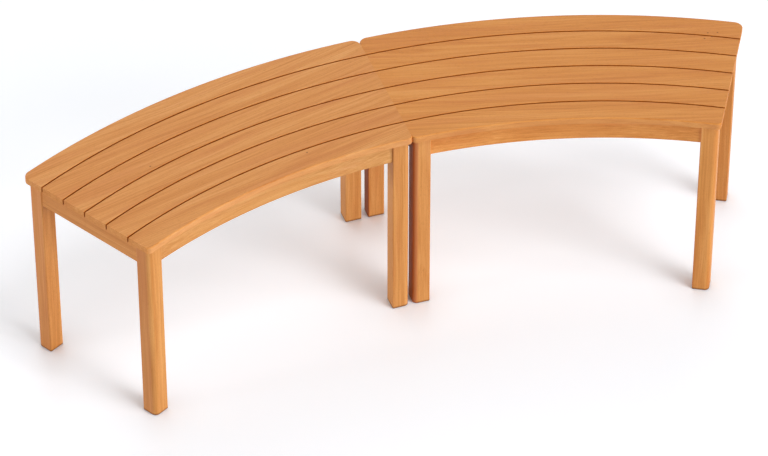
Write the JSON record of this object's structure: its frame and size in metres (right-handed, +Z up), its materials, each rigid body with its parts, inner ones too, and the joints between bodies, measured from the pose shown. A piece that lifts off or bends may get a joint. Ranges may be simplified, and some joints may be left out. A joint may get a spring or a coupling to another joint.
{
  "type": "curved tree bench",
  "caption": "Backless slatted wooden bench in two curved segments on square legs, for standing end to end round a tree.",
  "frame": {"origin": "on the floor, in the middle of the bench's outline seen from above", "axes": "+X along the bench from the left segment to the right one, +Y away from the tree, +Z up"},
  "size_m": [1.552, 0.5109, 0.45],
  "materials": {
    "seat_wood": "oiled hardwood slats, satin, fine straight grain",
    "leg_wood": "oiled hardwood legs, satin, grain upright",
    "frame_wood": "oiled hardwood aprons and rails, satin, grain lengthwise",
    "pin_wood": "end grain of hardwood pins",
    "screw_steel": "stainless wood screws, dull"
  },
  "bodies": {
    "left_segment": {"left_slat_1": "seat_wood", "left_slat_2": "seat_wood", "left_slat_3": "seat_wood", "left_slat_4": "seat_wood", "left_slat_5": "seat_wood", "left_slat_6": "seat_wood", "left_outer_leg_free": "leg_wood", "left_outer_leg_joint": "leg_wood", "left_inner_leg_free": "leg_wood", "left_inner_leg_joint": "leg_wood", "left_outer_apron": "frame_wood", "left_inner_apron": "frame_wood", "left_end_rail_free": "frame_wood", "left_end_rail_joint": "frame_wood", "left_middle_rail": "frame_wood", "left_tenon_pins": "pin_wood", "left_slat_screws": "screw_steel"},
    "right_segment": {"right_slat_1": "seat_wood", "right_slat_2": "seat_wood", "right_slat_3": "seat_wood", "right_slat_4": "seat_wood", "right_slat_5": "seat_wood", "right_slat_6": "seat_wood", "right_outer_leg_free": "leg_wood", "right_outer_leg_joint": "leg_wood", "right_inner_leg_free": "leg_wood", "right_inner_leg_joint": "leg_wood", "right_outer_apron": "frame_wood", "right_inner_apron": "frame_wood", "right_end_rail_free": "frame_wood", "right_end_rail_joint": "frame_wood", "right_middle_rail": "frame_wood", "right_tenon_pins": "pin_wood", "right_slat_screws": "screw_steel"}
  },
  "joints": [
    {"name": "segments_apart", "type": "slide", "parent": "left_segment", "child": "right_segment", "axis": [1, 0, 0], "range_m": [0, 0.3]}
  ]
}
